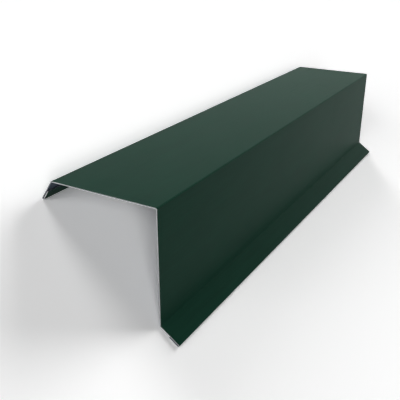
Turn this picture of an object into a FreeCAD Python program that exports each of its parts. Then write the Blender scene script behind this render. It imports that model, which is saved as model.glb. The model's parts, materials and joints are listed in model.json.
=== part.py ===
"""Verge flashing: one strip of pre-painted steel sheet, folded along its length.

The strip runs from one raw edge to the other as lip hem, lip, flange, face, drip and drip
hem. The flange lies on the roof covering, the face hangs in front of the barge board, the
lip closes down onto the covering and the drip throws water clear of the wall. Both long
edges are turned back on themselves as open hems, with the painted side outermost.

The section is drawn as it is fitted, flange level and face upright, with the corner of
flange and face at the sketch's origin. The finished part is then turned about its length
until it lies on its two long edges, which is how a loose length comes to rest.
"""

import FreeCAD, Part
import math
import os

import Sketcher

Vector = FreeCAD.Vector

NODE = "verge_flashing"

# Driving dimensions in millimetres and degrees. Widths are measured over the painted side,
# between the sharp corners that the flat faces would meet at.
SIZES = (
    ("length", 500.0, "cut length of the strip"),
    ("flange_width", 96.0, "lip corner to main corner"),
    ("face_height", 96.0, "main corner to drip corner"),
    ("lip_width", 20.0, "lip corner to the outside of its hem"),
    ("drip_width", 20.0, "drip corner to the outside of its hem"),
    ("lip_hem", 10.0, "turned-back leaf of the lip, fold included"),
    ("drip_hem", 10.0, "turned-back leaf of the drip, fold included"),
    ("main_bend", 90.0, "turn from flange to face"),
    ("lip_bend", 55.0, "turn from lip to flange"),
    ("drip_bend", 55.0, "turn from face out to drip"),
    ("sheet_thickness", 0.7, "coated steel sheet"),
    ("bend_radius", 0.5, "inside radius of the three bends"),
    ("hem_radius", 0.45, "inside radius of the two open hems"),
)

HALF_TURN = 180.0
ON_START, ON_END, ON_CENTRE = 1, 2, 3
ORIGIN = (-1, ON_START)
OUTLINE_STEP = 0.001
ANGLE_STEP = 1e-7


def make_sizes(doc):
    """The spreadsheet of driving dimensions, one alias to a row."""
    sheet = doc.addObject("Spreadsheet::Sheet", "Sizes")
    for row, (alias, value, note) in enumerate(SIZES, start=1):
        sheet.set(f"A{row}", alias)
        sheet.set(f"B{row}", str(value))
        sheet.setAlias(f"B{row}", alias)
        sheet.set(f"C{row}", note)
    doc.recompute()
    return {alias: float(sheet.get(alias)) for alias, value, note in SIZES}


def direction(heading):
    return Vector(math.cos(math.radians(heading)), math.sin(math.radians(heading)), 0)


class Bend:
    """One bend. A positive turn is to the left, away from the bare side of the strip.

    The painted side is on the left of the strip as it is walked from the lip hem to the
    drip hem, so a right turn has the painted skin on the outside of the bend.
    """

    def __init__(self, turn, radius, thickness, radius_size):
        self.turn = turn
        self.radius = radius
        self.radius_size = radius_size
        self.paint_outside = turn < 0
        self.paint_radius = radius + thickness if self.paint_outside else radius
        self.bare_radius = radius if self.paint_outside else radius + thickness

    def set_back(self):
        """Distance from the sharp corner, or from a hem's outside, to the painted flat."""
        if abs(self.turn) >= HALF_TURN:
            return self.paint_radius
        return self.paint_radius * math.tan(math.radians(abs(self.turn)) / 2)

    def centre(self, corner, heading):
        side = -90 if self.paint_outside else 90
        return corner + direction(heading + side) * self.paint_radius

    def arc(self, centre, heading, radius):
        """The bend's arc on one skin, with its ends in the order that the strip is walked."""
        first = heading + (90 if self.paint_outside else -90)
        last = first + self.turn
        low, high = (math.radians(a) for a in sorted((first, last)))
        circle = Part.Circle(centre, Vector(0, 0, 1), radius)
        ends = (ON_START, ON_END) if self.turn > 0 else (ON_END, ON_START)
        return Part.ArcOfCircle(circle, low, high), ends


def strip(size):
    """The strip's legs and bends in walking order: [(name, width)], [Bend]."""
    sheet = size["sheet_thickness"]

    def bend(turn, radius_size):
        return Bend(turn, size[radius_size], sheet, radius_size)

    legs = ["lip_hem", "lip_width", "flange_width", "face_height", "drip_width", "drip_hem"]
    bends = [
        bend(-HALF_TURN, "hem_radius"),
        bend(-size["lip_bend"], "bend_radius"),
        bend(-size["main_bend"], "bend_radius"),
        bend(size["drip_bend"], "bend_radius"),
        bend(-HALF_TURN, "hem_radius"),
    ]
    return legs, bends


def flats(size, legs, bends):
    """Length of each leg's painted flat, between its bends."""
    ends = [0.0] + [b.set_back() for b in bends] + [0.0]
    return [size[leg] - ends[i] - ends[i + 1] for i, leg in enumerate(legs)]


def start_of(size, bends, flat):
    """Where the walk begins, so that the main corner comes out at the origin."""
    heading = size["lip_bend"] + HALF_TURN
    point = Vector(0, 0, 0)
    for i, b in enumerate(bends[:2]):
        point += direction(heading) * flat[i]
        centre = b.centre(point, heading)
        heading += b.turn
        side = 90 if b.paint_outside else -90
        point = centre + direction(heading + side) * b.paint_radius
    corner = point + direction(heading) * (flat[2] + bends[2].set_back())
    return corner * -1


class Outline:
    """The section's closed outline, drawn and constrained in a sketch."""

    def __init__(self, sketch, size):
        self.sketch = sketch
        self.size = size
        self.legs, self.bends = strip(size)
        self.flat = flats(size, self.legs, self.bends)
        self.paint, self.bare, self.paint_arcs, self.bare_arcs = [], [], [], []

    def line(self, a, b, construction=False):
        return self.sketch.addGeometry(Part.LineSegment(a, b), construction)

    def fix(self, kind, *where):
        return self.sketch.addConstraint(Sketcher.Constraint(kind, *where))

    def measure(self, name, expression, kind, *where):
        """A dimension that follows the spreadsheet."""
        number = self.fix(kind, *where)
        self.sketch.renameConstraint(number, name)
        self.sketch.setExpression(f"Constraints.{name}", expression)

    def draw(self):
        """Both skins of every leg and bend, then the two raw edges."""
        sheet = self.size["sheet_thickness"]
        heading = self.size["lip_bend"] + HALF_TURN
        point = start_of(self.size, self.bends, self.flat)
        for i, length in enumerate(self.flat):
            end = point + direction(heading) * length
            across = direction(heading - 90) * sheet
            self.paint.append(self.line(point, end))
            self.bare.append(self.line(point + across, end + across))
            if i == 0:
                self.first_edge = self.line(point, point + across)
            if i == len(self.bends):
                self.last_edge = self.line(end, end + across)
                break
            bend = self.bends[i]
            centre = bend.centre(end, heading)
            for arcs, radius in ((self.paint_arcs, bend.paint_radius), (self.bare_arcs, bend.bare_radius)):
                arc, ends = bend.arc(centre, heading, radius)
                arcs.append((self.sketch.addGeometry(arc, False), ends))
            heading += bend.turn
            side = 90 if bend.paint_outside else -90
            point = centre + direction(heading + side) * bend.paint_radius

    def join(self):
        """Legs run tangent into bends, both skins share a centre, and raw edges are square."""
        for i in range(len(self.bends)):
            for lines, arcs in ((self.paint, self.paint_arcs), (self.bare, self.bare_arcs)):
                arc, (first, last) = arcs[i]
                self.fix("Tangent", lines[i], ON_END, arc, first)
                self.fix("Tangent", arc, last, lines[i + 1], ON_START)
            self.fix("Coincident", self.paint_arcs[i][0], ON_CENTRE, self.bare_arcs[i][0], ON_CENTRE)
        for edge, leg, end in ((self.first_edge, 0, ON_START), (self.last_edge, -1, ON_END)):
            self.fix("Coincident", edge, ON_START, self.paint[leg], end)
            self.fix("Coincident", edge, ON_END, self.bare[leg], end)
            self.fix("Perpendicular", edge, self.paint[leg])
            self.fix("Parallel", self.paint[leg], self.bare[leg])

    def dimension(self):
        """Every dimension of the outline, tied to the spreadsheet."""
        for i, bend in enumerate(self.bends):
            inner = f"Sizes.{bend.radius_size}"
            outer = f"{inner} + Sizes.sheet_thickness"
            paint, bare = (outer, inner) if bend.paint_outside else (inner, outer)
            self.measure(f"paint_radius_{i}", paint, "Radius", self.paint_arcs[i][0], bend.paint_radius)
            self.measure(f"bare_radius_{i}", bare, "Radius", self.bare_arcs[i][0], bend.bare_radius)
        hem = "Sizes.hem_radius - Sizes.sheet_thickness"
        for leg, name in ((0, "lip_hem"), (-1, "drip_hem")):
            width = self.flat[leg]
            self.measure(f"{name}_flat", f"Sizes.{name} - {hem}", "Distance", self.paint[leg], width)
        self.fix("Parallel", self.paint[0], self.paint[1])
        self.fix("Parallel", self.paint[-1], self.paint[-2])
        self.corners(hem)

    def corners(self, hem):
        """The sharp corners of the painted side, which the widths are measured between."""
        size = self.size
        turn = size["main_bend"]
        main = Vector(0, 0, 0)
        lip = main - direction(0) * size["flange_width"]
        drip = main + direction(-turn) * size["face_height"]
        lip_flat = size["lip_width"] - self.bends[0].paint_radius
        drip_flat = size["drip_width"] - self.bends[-1].paint_radius
        lip_end = lip - direction(size["lip_bend"]) * lip_flat
        drip_end = drip + direction(size["drip_bend"] - turn) * drip_flat
        points = [lip_end, lip, main, drip, drip_end]
        folds = [self.line(a, b, True) for a, b in zip(points, points[1:])]
        for a, b in zip(folds, folds[1:]):
            self.fix("Coincident", a, ON_END, b, ON_START)
        for fold, flat in zip(folds[1:-1], self.paint[2:-2]):
            self.fix("Tangent", fold, flat)
        for fold, leg, end in ((folds[0], 1, ON_START), (folds[-1], -2, ON_END)):
            self.fix("Coincident", fold, end, self.paint[leg], end)
            self.fix("Parallel", fold, self.paint[leg])
        self.fix("Coincident", folds[1], ON_END, *ORIGIN)
        self.fix("Horizontal", folds[1])
        self.measure("lip_width", f"Sizes.lip_width - {hem}", "Distance", folds[0], lip_flat)
        self.measure("flange_width", "Sizes.flange_width", "Distance", folds[1], size["flange_width"])
        self.measure("face_height", "Sizes.face_height", "Distance", folds[2], size["face_height"])
        self.measure("drip_width", f"Sizes.drip_width - {hem}", "Distance", folds[3], drip_flat)
        self.measure("lip_bend", "Sizes.lip_bend * 1 deg", "Angle", folds[0], math.radians(size["lip_bend"]))
        self.measure("main_bend", "-Sizes.main_bend * 1 deg", "Angle", folds[2], math.radians(-turn))
        slope = math.radians(size["drip_bend"] - turn)
        self.measure("drip_bend", "(Sizes.drip_bend - Sizes.main_bend) * 1 deg", "Angle", folds[3], slope)


def plane_of(body, role):
    return next(f for f in body.Origin.OriginFeatures if f.Role == role)


def make_flashing(doc, size):
    """The folded strip as one body: its section padded to the cut length."""
    body = doc.addObject("PartDesign::Body", "VergeFlashing")
    body.Label = NODE
    section = body.newObject("Sketcher::SketchObject", "Section")
    section.AttachmentSupport = (plane_of(body, "XZ_Plane"), [""])
    section.MapMode = "FlatFace"
    outline = Outline(section, size)
    outline.draw()
    outline.join()
    outline.dimension()
    doc.recompute()
    pad = body.newObject("PartDesign::Pad", "Strip")
    pad.Profile = section
    pad.SideType = "Symmetric"
    pad.setExpression("Length", "Sizes.length")
    body.Tip = pad
    doc.recompute()
    return body, section


def rest_turn(section):
    """Degrees to turn the fitted section about its length so that both long edges touch down."""
    edges = section.Shape.Edges
    points = [p for e in edges for p in e.discretize(Deflection=OUTLINE_STEP)]
    lip_side = [p for p in points if p.x < section.Shape.BoundBox.Center.x]
    drip_side = [p for p in points if p.x >= section.Shape.BoundBox.Center.x]

    def lowest(group, turn):
        sine, cosine = math.sin(math.radians(turn)), math.cos(math.radians(turn))
        return min(p.x * sine + p.z * cosine for p in group)

    low, high = 0.0, 90.0
    while high - low > ANGLE_STEP:
        middle = (low + high) / 2
        if lowest(lip_side, middle) > lowest(drip_side, middle):
            low = middle
        else:
            high = middle
    return low


def lay_down(body, section):
    """Turns the part onto its long edges and centres it over the origin."""
    turned = FreeCAD.Rotation(Vector(0, -1, 0), rest_turn(section))
    body.Placement = FreeCAD.Placement(Vector(0, 0, 0), turned)
    body.Document.recompute()
    box = body.Shape.BoundBox
    body.Placement = FreeCAD.Placement(Vector(-box.Center.x, -box.Center.y, -box.ZMin), turned)
    body.Document.recompute()


def check(doc, body):
    """Stops before anything is written if a feature failed or the solid isn't sound."""
    for item in doc.Objects:
        if "Invalid" in item.State or "Error" in item.State:
            raise RuntimeError(f"{item.Name} failed: {item.State}")
    shape = body.Shape
    if shape.isNull() or not shape.isValid() or len(shape.Solids) != 1:
        raise RuntimeError(f"{body.Label} is not one sound solid")


def main():
    doc = FreeCAD.newDocument("VergeFlashing")
    size = make_sizes(doc)
    body, section = make_flashing(doc, size)
    lay_down(body, section)
    check(doc, body)
    os.makedirs("parts", exist_ok=True)
    body.Shape.exportStep(f"parts/{NODE}.step")
    return doc, body, section


doc, body, section = main()
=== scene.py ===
"""The verge flashing's looks: its coats and cut edges, the floor, the lamps and the camera.

Lengths are in millimetres, and MM takes them to Blender's metres. The strip is stored lying on
its two long edges. Here it is also read as it is fitted, with its flange level and its face
upright, in a second set of axes: out is the way the face looks, up is the way the flange
looks, and along is the strip's length. They start at the sharp corner of flange and face. The
camera is placed in those axes, because the photograph shows the strip that way up.
"""

import json
import math

import bmesh
import bpy
from mathutils import Matrix, Vector


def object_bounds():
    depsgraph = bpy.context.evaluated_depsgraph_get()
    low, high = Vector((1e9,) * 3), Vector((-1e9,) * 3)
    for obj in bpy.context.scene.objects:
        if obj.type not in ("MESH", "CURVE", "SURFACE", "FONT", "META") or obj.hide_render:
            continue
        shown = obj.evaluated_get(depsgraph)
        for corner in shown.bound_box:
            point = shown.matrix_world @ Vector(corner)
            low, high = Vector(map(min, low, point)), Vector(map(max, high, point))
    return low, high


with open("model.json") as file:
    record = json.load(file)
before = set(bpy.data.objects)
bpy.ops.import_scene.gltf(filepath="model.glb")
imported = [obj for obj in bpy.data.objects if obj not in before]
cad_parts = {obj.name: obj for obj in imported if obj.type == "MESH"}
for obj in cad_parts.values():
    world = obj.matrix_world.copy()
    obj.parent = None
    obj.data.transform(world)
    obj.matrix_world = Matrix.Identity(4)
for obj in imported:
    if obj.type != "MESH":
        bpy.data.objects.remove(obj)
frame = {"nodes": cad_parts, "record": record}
cad_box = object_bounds()

MM = 0.001

# The folded section, with widths over the painted side.
SHEET = 0.7
FLANGE = 96.0
FACE = 96.0
LIP = 20.0
DRIP = 20.0
LIP_TURN = math.radians(55.0)
DRIP_TURN = math.radians(55.0)
HEM_OPENING = 0.9
FOLD_RADIUS = HEM_OPENING / 2 + SHEET

# The camera in the fitted axes, from the near end's corner, and its lens and film.
CAMERA_PLACE = Vector((206.90, -295.05, 165.51))
CAMERA_YAW = math.radians(-30.428)
CAMERA_PITCH = math.radians(-23.926)
CAMERA_ROLL = math.radians(0.02)
CAMERA_LENS = 52.96
CAMERA_FILM = 36.0
NEAREST_SEEN = 10.0
FARTHEST_SEEN = 100000.0

# The floor's own colour, and the one that it is seen in, so that it reads white out of the shade.
FLOOR_SIZE = 40000.0
FLOOR_COLOUR = (0.85, 0.85, 0.85)
FLOOR_SEEN = (1.45, 1.45, 1.45)
WHITE = (1.0, 1.0, 1.0)

# Wide soft lamps in the stored frame. Each has the way to it round from +X, its height above
# the floor and its width in degrees, and its strength.
LAMPS = {
    "window": (165.0, 22.0, 25.0, 1.12),
    "far_end": (92.0, 20.0, 40.0, 2.45),
    "near_left": (250.0, 15.0, 32.0, 1.75),
    "near_right": (300.0, 29.0, 20.0, 0.98),
}

# Linear colours of the sheet and its coats, and how shiny and how rough they are.
TOP_COAT = (0.0068, 0.0370, 0.0230)
BACK_COAT = (0.10, 0.125, 0.16)
CUT_STEEL = (0.56, 0.57, 0.58)
ZINC = (0.66, 0.68, 0.70)
COAT_GLOSS = 0.026
TOP_ROUGHNESS = 0.42
BACK_ROUGHNESS = 0.50
SHEARED_ROUGHNESS = 0.30
TORN_ROUGHNESS = 0.46

# How patterns are drawn out along the strip: the mill's rolling, cloudy gloss and fine cracks.
ROLLED = (1.0, 1.0 / 60.0, 1.0)
CLOUDED = (1.0, 0.25, 1.0)
CRAZED = (1.0, 0.12, 1.0)

# How much each pattern of a coat lightens it and roughens it, and how far it raises it, in
# thousandths of a millimetre.
TOP_LIGHTER = {
    "drift": 0.08, "cloud": 0.12, "streaks": 0.16, "speckle": 0.30, "stretch": 0.10, "rubbed": 0.12,
}
TOP_ROUGHER = {"streaks": 0.03, "handled": 0.015, "rubbed": 0.10, "stretch": -0.05}
TOP_RAISED = {"peel": 9.0, "tooth": 4.0, "crazing": 4.0}
BACK_LIGHTER = {"drift": 0.06, "mottle": 0.06, "streaks": 0.09, "speckle": 0.10}
BACK_ROUGHER = {"streaks": 0.06, "mottle": 0.05, "thin": -0.05}
BACK_RAISED = {"streaks": 2.0, "speckle": 1.5}
ZINC_SHOWING = 0.10

# The cut edge: how deep its layers reach from either side of the sheet, where its bright band
# ends and its torn band is full, how far that line wanders, how deep each band's tears are in
# thousandths, and how light the steel is.
PAINT = 0.022
PRIMER = 0.012
ZINC_UNDER_PAINT = 0.05
ZINC_UNDER_PRIMER = 0.04
BRIGHT_BAND = 0.24
TORN_BAND = 0.30
BAND_WANDER = 0.06
SHEARED_TEARS = 2.0
TORN_TEARS = 12.0
CUT_LIGHTNESS = 1.06
CUT_LIGHTER = {"tear": 0.10, "torn": -0.12}
CUT_ROUGHER = {"tear": 0.08}

# Chips along the sheared ends: how far noise has to rise before the coat breaks off, and the
# coat's thickness there in thousandths.
CHIP_HOLD = 0.25
CHIP_DEPTH = 20.0

# Where the coat is stretched: round a bend's corner, and along a hem's fold.
BEND_UNSTRETCHED = 1.6
BEND_STRETCHED = 0.6
FOLD_STRETCH = 0.5

# Where the lip and the drip start past their bends, how far off the folded leaf's height may
# be, and how squarely a face has to look along an axis to count as cut.
PAST_BEND = 2.0
LEAF_MARGIN = 0.1
SQUARE_ON = 0.9


def seat(name):
    """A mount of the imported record: its place and the way its face looks."""
    mount = next(m for m in frame["record"]["mounts"] if m["name"] == name)
    return Vector(mount["pos_m"]) / MM, Vector(mount["axis"]).normalized()


def fitted_axes():
    """The fitted axes in the stored frame, from the bare sides of flange and face."""
    flange_place, flange_axis = seat("roof_seat")
    face_place, face_axis = seat("barge_board_seat")
    up, out = -flange_axis, -face_axis
    along = up.cross(out)
    corner = out * (face_place.dot(out) + SHEET) + up * (flange_place.dot(up) + SHEET)
    return Matrix((out, along, up)).transposed(), corner


AXES, CORNER = fitted_axes()
NEAR_END = CORNER + Vector((0, cad_box[0][1] / MM, 0))
HALF_LENGTH = (cad_box[1][1] - cad_box[0][1]) / 2 / MM


def add_camera():
    """The photograph's camera."""
    sine, cosine = math.sin(CAMERA_YAW), math.cos(CAMERA_YAW)
    level = math.cos(CAMERA_PITCH)
    ahead = Vector((sine * level, cosine * level, math.sin(CAMERA_PITCH)))
    right = Vector((cosine, -sine, 0))
    right.rotate(Matrix.Rotation(CAMERA_ROLL, 3, ahead))
    turn = Matrix((right, right.cross(ahead), -ahead)).transposed()
    place = NEAR_END + AXES @ CAMERA_PLACE
    data = bpy.data.cameras.new("camera")
    data.sensor_width = CAMERA_FILM
    data.lens = CAMERA_LENS
    data.clip_start = NEAREST_SEEN * MM
    data.clip_end = FARTHEST_SEEN * MM
    camera = bpy.data.objects.new("camera", data)
    camera.matrix_world = Matrix.Translation(place * MM) @ (AXES @ turn).to_4x4()
    bpy.context.scene.collection.objects.link(camera)
    bpy.context.scene.camera = camera


class Wire:
    """A socket in a material, so that shader maths can be written as an expression."""

    def __init__(self, finish, socket):
        self.finish = finish
        self.socket = socket

    def maths(self, operation, *values):
        return self.finish.node("Math", {"operation": operation}, dict(enumerate(values)))

    def __add__(self, other):
        return self.maths("ADD", self, other)

    def __radd__(self, other):
        return self.maths("ADD", other, self)

    def __sub__(self, other):
        return self.maths("SUBTRACT", self, other)

    def __rsub__(self, other):
        return self.maths("SUBTRACT", other, self)

    def __mul__(self, other):
        return self.maths("MULTIPLY", self, other)

    def __rmul__(self, other):
        return self.maths("MULTIPLY", other, self)

    def __neg__(self):
        return self.maths("MULTIPLY", self, -1.0)

    def __gt__(self, other):
        return self.maths("GREATER_THAN", self, other)

    def __lt__(self, other):
        return self.maths("LESS_THAN", self, other)

    def least(self, other):
        return self.maths("MINIMUM", self, other)

    def most(self, other):
        return self.maths("MAXIMUM", self, other)

    def size(self):
        return self.maths("ABSOLUTE", self)

    def root(self):
        return self.maths("SQRT", self)


class Finish:
    """The nodes of one material, or of the room."""

    def __init__(self, owner):
        owner.use_nodes = True
        self.tree = owner.node_tree
        self.tree.nodes.clear()

    def node(self, kind, settings=None, sockets=None, output=0):
        """A node with its settings, and the values or links of its sockets; returns one output."""
        made = self.tree.nodes.new("ShaderNode" + kind)
        for name, value in (settings or {}).items():
            setattr(made, name, value)
        for socket, value in (sockets or {}).items():
            self.join(made.inputs[socket], value)
        return Wire(self, made.outputs[output])

    def join(self, socket, value):
        """Links a wire to a socket, or sets the socket to a number or colour."""
        if isinstance(value, Wire):
            self.tree.links.new(value.socket, socket)
        elif hasattr(socket.default_value, "__len__") and len(socket.default_value) == 4:
            socket.default_value = (*value, 1.0)
        else:
            socket.default_value = value

    def end(self, surface, kind="Material"):
        """Sends a shader to the output."""
        sink = self.tree.nodes.new("ShaderNodeOutput" + kind)
        self.join(sink.inputs["Surface"], surface)

    def mix(self, amount, low, high):
        """A value that goes from low to high."""
        return low + amount * (high - low)

    def blend(self, amount, low, high):
        """A colour that goes from low to high, by a node whose colour sockets go by number."""
        return self.node("Mix", {"data_type": "RGBA"}, {0: amount, 6: low, 7: high}, output=2)

    def shade(self, colour, strength):
        """A colour or vector made larger or smaller all round."""
        return self.node("VectorMath", {"operation": "SCALE"}, {"Vector": colour, "Scale": strength})

    def on_axis(self, vector, axis):
        """How far a vector reaches along an axis."""
        return self.node("VectorMath", {"operation": "DOT_PRODUCT"}, {0: vector, 1: axis}, "Value")

    def stretched(self, vector, shape):
        """A vector scaled by its own amount on each axis."""
        return self.node("VectorMath", {"operation": "MULTIPLY"}, {0: vector, 1: shape})

    def grain(self, vector, size, detail):
        """Even noise round zero, with lumps of this size."""
        sockets = {"Vector": vector, "Scale": 1.0 / size, "Detail": detail}
        return self.node("TexNoise", sockets=sockets) * 2.0 - 1.0

    def step(self, value, none, full):
        """0 up to none and 1 from full on, with an even slope between."""
        return ((value - none) * (1.0 / (full - none))).most(0.0).least(1.0)

    def total(self, start, patterns, weights):
        """A starting value with each pattern added by its weight."""
        return sum((patterns[name] * weight for name, weight in weights.items()), start)

    def bump(self, height):
        """A normal for a surface whose height is given in thousandths of a millimetre."""
        return self.node("Bump", sockets={"Strength": 1.0, "Distance": MM / 1000, "Height": height})

    def seen(self):
        """1 where the camera looks, straight or in metal and glass, and 0 where light passes on."""
        camera = self.node("LightPath", output="Is Camera Ray")
        glossy = self.node("LightPath", output="Is Glossy Ray")
        through = self.node("LightPath", output="Is Transmission Ray")
        return camera.most(glossy).most(through)


class Leg:
    """The lip or the drip, with its edge folded back, as shader values in millimetres."""

    def __init__(self, section, here, corner, width, heading, side):
        """Here is 1 on this leg and 0 elsewhere. Heading is the leg's way out from its corner, and
        side is 1 where its painted side lies to the left of that way, and -1 to the right. Reach
        is measured along the leg, and height over its painted side.
        """
        out, up = section.out - corner[0], section.up - corner[1]
        across = heading + side * math.pi / 2
        self.finish = section.finish
        self.here = here
        self.fold_start = width - FOLD_RADIUS
        self.reach = out * math.cos(heading) + up * math.sin(heading)
        self.height = out * math.cos(across) + up * math.sin(across)
        inwards = -(AXES @ Vector((math.cos(heading), 0, math.sin(heading))))
        self.looks_back = self.finish.on_axis(section.normal, inwards) > SQUARE_ON

    def depth(self):
        """Depth below the painted side, also round the fold."""
        past = (self.reach - self.fold_start).most(0.0)
        level = self.height + FOLD_RADIUS
        return FOLD_RADIUS - (past * past + level * level).root()

    def raw_edge(self):
        """1 on the cut edge of the folded leaf, which looks back along the leg."""
        folded_leaf = self.height < LEAF_MARGIN - SHEET - HEM_OPENING
        return self.here * folded_leaf * self.looks_back

    def fold(self):
        """1 on the outside of the fold, where the coat is stretched most."""
        return self.here * self.finish.step(self.reach, self.fold_start, self.fold_start + FOLD_STRETCH)


class Section:
    """Where a point of the strip lies in its folded section, as shader values in millimetres."""

    def __init__(self, finish):
        out, along, up = AXES.transposed()
        self.finish = finish
        self.normal = finish.node("TexCoord", output="Normal")
        self.point = finish.shade(finish.node("TexCoord", output="Object"), 1.0 / MM)
        self.rolled = finish.stretched(self.point, ROLLED)
        self.out = finish.on_axis(self.point, out) - CORNER.dot(out)
        self.up = finish.on_axis(self.point, up) - CORNER.dot(up)
        self.from_end = HALF_LENGTH - finish.on_axis(self.point, along).size()
        self.end_face = finish.on_axis(self.normal, along).size() > SQUARE_ON
        on_lip = (self.up < -PAST_BEND) * (self.out < -FLANGE / 2)
        on_drip = self.out > PAST_BEND
        lip = Leg(self, on_lip, (-FLANGE, 0.0), LIP, math.pi + LIP_TURN, -1)
        drip = Leg(self, on_drip, (0.0, -FACE), DRIP, DRIP_TURN - math.pi / 2, 1)
        self.depth = self.depth_below_paint(lip, drip)
        self.leaf_edge = lip.raw_edge() + drip.raw_edge()
        self.stretch = self.near_bend(0.0, 0.0) + self.near_bend(-FLANGE, 0.0) + lip.fold() + drip.fold()

    def depth_below_paint(self, lip, drip):
        """0 on the painted side and the sheet's thickness on the back."""
        face_and_drip = (-self.out).most(-drip.height)
        between_hems = (-self.up).least(-lip.height).least(face_and_drip)
        with_lip = self.finish.mix(lip.here, between_hems, lip.depth())
        return self.finish.mix(drip.here, with_lip, drip.depth())

    def near_bend(self, out, up):
        """1 on the outside of a bend at this corner, and 0 away from it."""
        across = self.out - out
        above = self.up - up
        away = (across * across + above * above).root()
        return self.finish.step(away, BEND_UNSTRETCHED, BEND_STRETCHED)


def add_floor():
    """A plain pale floor, which the camera and reflections see as white."""
    shape = bmesh.new()
    bmesh.ops.create_grid(shape, x_segments=1, y_segments=1, size=FLOOR_SIZE / 2 * MM)
    mesh = bpy.data.meshes.new("floor")
    shape.to_mesh(mesh)
    shape.free()
    floor = bpy.data.objects.new("floor", mesh)
    bpy.context.scene.collection.objects.link(floor)
    material = bpy.data.materials.new("pale_floor")
    finish = Finish(material)
    colour = finish.blend(finish.seen(), FLOOR_COLOUR, FLOOR_SEEN)
    finish.end(finish.node("BsdfDiffuse", sockets={"Color": colour}))
    mesh.materials.append(material)


def add_light():
    """A white room that is only seen, and gives no light, and the lamps, which aren't reflected."""
    world = bpy.data.worlds.new("room")
    finish = Finish(world)
    finish.end(finish.node("Background", sockets={"Color": WHITE, "Strength": finish.seen()}), "World")
    bpy.context.scene.world = world
    for name, (round_from_x, height, width, strength) in LAMPS.items():
        data = bpy.data.lights.new(name, "SUN")
        data.energy = strength
        data.angle = math.radians(width)
        lamp = bpy.data.objects.new(name, data)
        lamp.rotation_euler = (math.radians(90.0 - height), 0, math.radians(round_from_x + 90.0))
        lamp.visible_glossy = False
        bpy.context.scene.collection.objects.link(lamp)


def top_coat(finish, section):
    """Dark green polyester over the outside: its colour, roughness and height."""
    point, rolled = section.point, section.rolled
    clouded = finish.stretched(point, CLOUDED)
    crazed = finish.stretched(point, CRAZED)
    patterns = {
        "streaks": finish.grain(rolled, size=1.6, detail=3.0),
        "drift": finish.grain(point, size=60.0, detail=2.0),
        "speckle": finish.grain(point, size=0.35, detail=1.0),
        "cloud": finish.grain(clouded, size=14.0, detail=3.0),
        "handled": finish.step(finish.grain(point, size=28.0, detail=3.0), none=0.12, full=0.5),
        "rubbed": finish.step(finish.grain(rolled, size=0.7, detail=0.0), none=0.56, full=0.68),
        "peel": finish.grain(point, size=2.2, detail=1.0),
        "tooth": finish.grain(point, size=0.45, detail=2.0),
        "crazing": section.stretch * finish.grain(crazed, size=0.12, detail=1.0),
        "stretch": section.stretch,
    }
    colour = finish.shade(TOP_COAT, finish.total(1.0, patterns, TOP_LIGHTER))
    roughness = finish.total(TOP_ROUGHNESS, patterns, TOP_ROUGHER)
    return colour, roughness, finish.total(0.0, patterns, TOP_RAISED)


def back_coat(finish, section):
    """Thin blue-grey primer over the inside, where the rolled zinc shows through a little."""
    point, rolled = section.point, section.rolled
    patterns = {
        "streaks": finish.grain(rolled, size=1.1, detail=4.0),
        "mottle": finish.grain(point, size=7.0, detail=3.0),
        "drift": finish.grain(point, size=90.0, detail=1.0),
        "speckle": finish.grain(point, size=0.4, detail=1.0),
        "thin": finish.step(finish.grain(rolled, size=3.2, detail=3.0), none=0.1, full=0.6),
    }
    primer = finish.shade(BACK_COAT, finish.total(1.0, patterns, BACK_LIGHTER))
    colour = finish.blend(patterns["thin"] * ZINC_SHOWING, primer, ZINC)
    roughness = finish.total(BACK_ROUGHNESS, patterns, BACK_ROUGHER)
    return colour, roughness, finish.total(0.0, patterns, BACK_RAISED)


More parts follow.
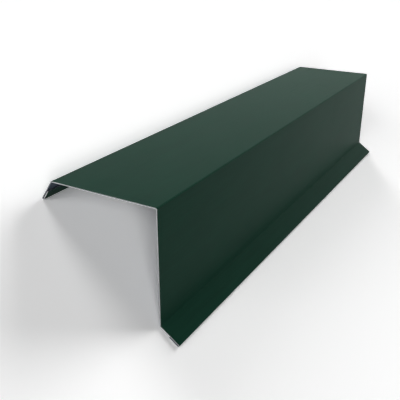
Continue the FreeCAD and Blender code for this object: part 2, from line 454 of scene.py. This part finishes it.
def cut_edge(finish, section):
    """Sheared edge: a smooth bright band under the paint, then a dull torn one down to the back."""
    depth = section.depth
    wander = finish.grain(section.point, size=1.5, detail=2.0) * BAND_WANDER
    tear = finish.grain(section.point, size=0.09, detail=2.0)
    torn = finish.step(depth + wander, none=BRIGHT_BAND, full=TORN_BAND)
    patterns = {"tear": tear, "torn": torn}
    steel = finish.shade(CUT_STEEL, finish.total(CUT_LIGHTNESS, patterns, CUT_LIGHTER))
    zinc = ((depth < ZINC_UNDER_PAINT) + (depth > SHEET - ZINC_UNDER_PRIMER)).least(1.0)
    paint = depth < PAINT
    primer = depth > SHEET - PRIMER
    painted = finish.blend(paint, finish.blend(zinc, steel, ZINC), TOP_COAT)
    colour = finish.blend(primer, painted, BACK_COAT)
    metal = 1.0 - (paint + primer).least(1.0)
    roughness = finish.total(finish.mix(torn, SHEARED_ROUGHNESS, TORN_ROUGHNESS), patterns, CUT_ROUGHER)
    return colour, roughness, tear * finish.mix(torn, SHEARED_TEARS, TORN_TEARS), metal


def coated_sheet():
    """Pre-painted sheet: green outside, blue-grey inside, and bare steel where it was cut."""
    material = bpy.data.materials.new("coated_sheet")
    finish = Finish(material)
    section = Section(finish)
    back = section.depth > SHEET / 2
    cut = (section.end_face + section.leaf_edge).least(1.0)
    chip = section.from_end + CHIP_HOLD < finish.grain(section.point, size=1.2, detail=3.0)
    top_colour, top_roughness, top_height = top_coat(finish, section)
    back_colour, back_roughness, back_height = back_coat(finish, section)
    cut_colour, cut_roughness, cut_height, cut_metal = cut_edge(finish, section)
    coat_colour = finish.blend(chip, finish.blend(back, top_colour, back_colour), ZINC)
    coat_roughness = finish.mix(back, top_roughness, back_roughness)
    coat_height = finish.mix(back, top_height, back_height) - chip * CHIP_DEPTH
    sheet = finish.node("BsdfPrincipled", sockets={
        "Base Color": finish.blend(cut, coat_colour, cut_colour),
        "Roughness": finish.mix(cut, coat_roughness, cut_roughness),
        "Metallic": finish.mix(cut, chip, cut_metal),
        "Normal": finish.bump(finish.mix(cut, coat_height, cut_height)),
        "Specular IOR Level": COAT_GLOSS,
    })
    finish.end(sheet)
    return material


def dress(node, material):
    """Gives a solid of the frame its finish."""
    slot = frame["nodes"][node].material_slots[0]
    slot.link = "OBJECT"
    slot.material = material


bpy.context.scene.view_settings.view_transform = "Standard"
add_camera()
add_floor()
add_light()
dress("verge_flashing", coated_sheet())
